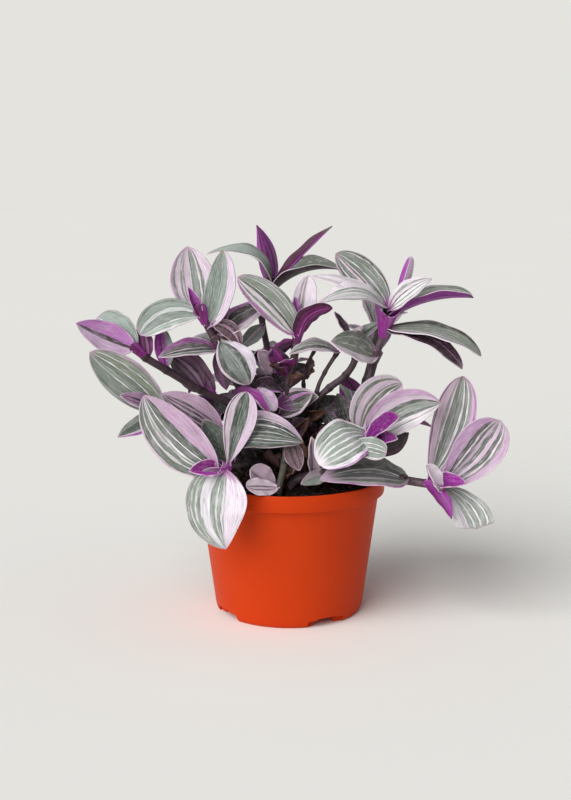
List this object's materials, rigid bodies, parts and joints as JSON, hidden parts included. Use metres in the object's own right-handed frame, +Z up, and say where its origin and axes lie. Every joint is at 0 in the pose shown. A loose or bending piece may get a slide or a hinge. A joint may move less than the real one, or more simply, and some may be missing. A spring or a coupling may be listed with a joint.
{
  "type": "potted tradescantia",
  "caption": "Trailing house plant with striped green, white and pink leaves on branching stems, rooted in soil in a tapered plastic nursery pot.",
  "frame": {"origin": "middle of the pot's foot, on the ground", "axes": "+Z up out of the pot, -Y towards the front of the plant, +X to the right as seen from the front"},
  "size_m": [0.2521, 0.1488, 0.2406],
  "materials": {
    "pot_plastic": "satin",
    "potting_soil": "matte",
    "stem": "satin",
    "leaf": "satin"
  },
  "bodies": {
    "root": {"pot": "pot_plastic", "soil": "potting_soil", "stem_back_left": "stem", "stem_back_right": "stem", "stem_center": "stem", "stem_front": "stem", "stem_front_left": "stem", "stem_front_right": "stem", "stem_left": "stem", "stem_mid_right": "stem", "stem_right": "stem", "stem_top": "stem", "stem_upper_right": "stem", "leaf_back_left_1": "leaf", "leaf_back_left_2": "leaf", "leaf_back_left_3": "leaf", "leaf_back_left_4": "leaf", "leaf_back_right_1": "leaf", "leaf_back_right_2": "leaf", "leaf_back_right_3": "leaf", "leaf_back_right_4": "leaf", "leaf_back_right_5": "leaf", "leaf_center_1": "leaf", "leaf_center_2": "leaf", "leaf_center_3": "leaf", "leaf_front_1": "leaf", "leaf_front_2": "leaf", "leaf_front_left_1": "leaf", "leaf_front_left_2": "leaf", "leaf_front_left_3": "leaf", "leaf_front_right_1": "leaf", "leaf_front_right_2": "leaf", "leaf_front_right_3": "leaf", "leaf_left_1": "leaf", "leaf_left_2": "leaf", "leaf_left_3": "leaf", "leaf_low_left_1": "leaf", "leaf_low_left_2": "leaf", "leaf_mid_right_1": "leaf", "leaf_mid_right_2": "leaf", "leaf_right_1": "leaf", "leaf_right_2": "leaf", "leaf_right_3": "leaf", "leaf_right_4": "leaf", "leaf_top_1": "leaf", "leaf_top_2": "leaf", "leaf_top_3": "leaf", "leaf_top_4": "leaf", "leaf_upper_left_1": "leaf", "leaf_upper_left_2": "leaf", "leaf_upper_left_3": "leaf", "leaf_upper_left_4": "leaf", "leaf_upper_left_5": "leaf", "leaf_upper_left_6": "leaf", "leaf_upper_right_1": "leaf", "leaf_upper_right_2": "leaf", "leaf_upper_right_3": "leaf", "leaf_upper_right_4": "leaf", "leaf_upper_right_5": "leaf", "leaf_upper_right_6": "leaf"}
  },
  "joints": []
}
